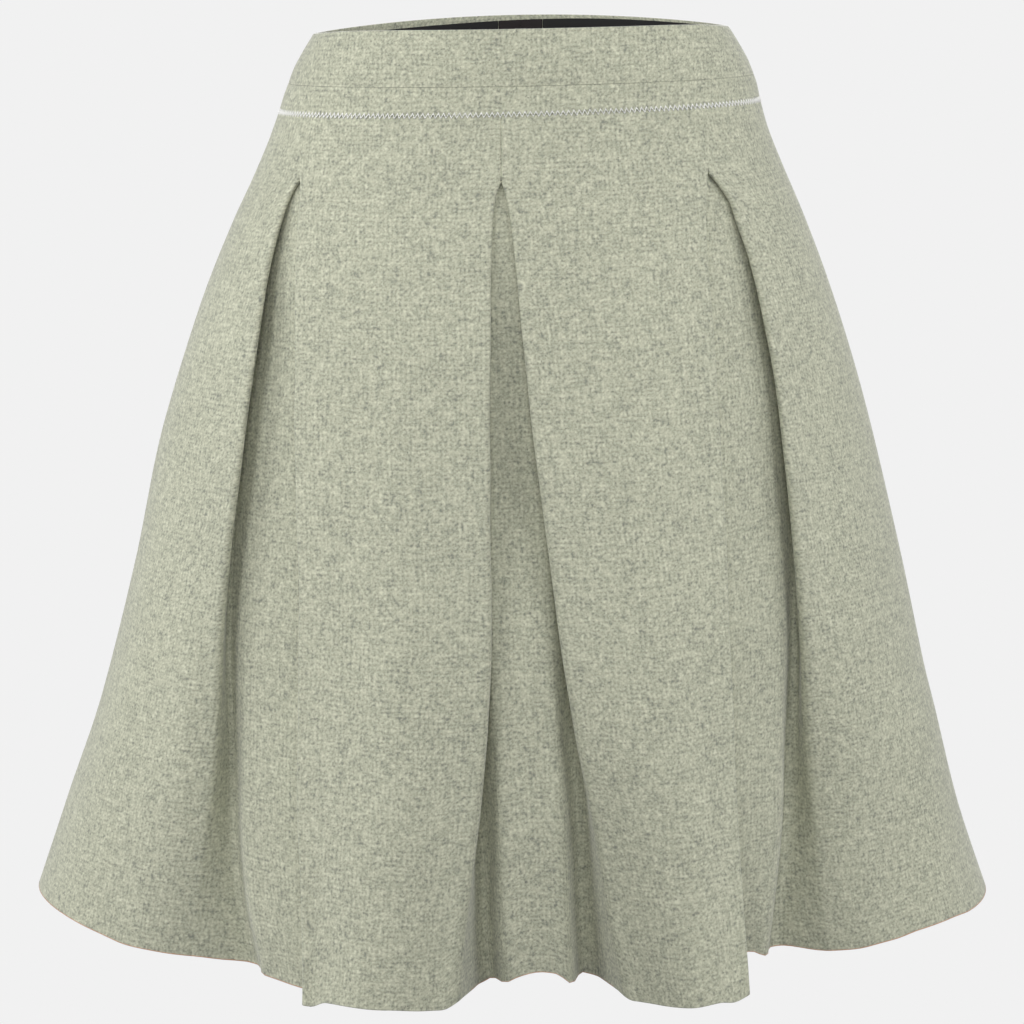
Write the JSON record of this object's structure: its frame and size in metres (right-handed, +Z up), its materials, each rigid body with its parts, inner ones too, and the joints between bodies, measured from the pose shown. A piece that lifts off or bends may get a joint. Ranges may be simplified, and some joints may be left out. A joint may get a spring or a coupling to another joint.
{
  "type": "pleated mini skirt",
  "caption": "Short A-line skirt in thick pale grey-green melange wool, with inverted box pleats stitched down under a shaped band, filled out as on a form, with a concealed zip at the back.",
  "frame": {"origin": "middle of the waist opening, level with the band's top edge at the centre front", "axes": "+Z up out of the waist opening, front towards -Y, +X towards the right side as seen from the front"},
  "size_m": [0.5541, 0.4278, 0.5124],
  "materials": {
    "wool": "brushed melange wool, matt with a short soft nap",
    "facing_cloth": "plain black cloth, matt",
    "zip_tape": "woven tape, matt",
    "zip_coil": "moulded coil, satin",
    "slider_metal": "dark plated, satin",
    "pull_metal": "dark plated, satin"
  },
  "bodies": {
    "skirt": {"skirt_front": "wool", "skirt_back_right": "wool", "skirt_back_left": "wool", "waistband_front": "wool", "waistband_back_right": "wool", "waistband_back_left": "wool", "yoke_strip_front": "wool", "yoke_strip_back_right": "wool", "yoke_strip_back_left": "wool", "facing_front": "facing_cloth", "facing_back_right": "facing_cloth", "facing_back_left": "facing_cloth", "zip_tape_left": "zip_tape", "zip_tape_right": "zip_tape", "zip_chain": "zip_coil", "zip_slider": "slider_metal"},
    "pull": {"zip_pull": "pull_metal"}
  },
  "joints": [
    {"name": "pull_swing", "type": "hinge", "parent": "skirt", "child": "pull", "pos_m": [0, 0.09158, -0.00704], "axis": [1, 0, 0], "range_deg": [0, 165]}
  ]
}
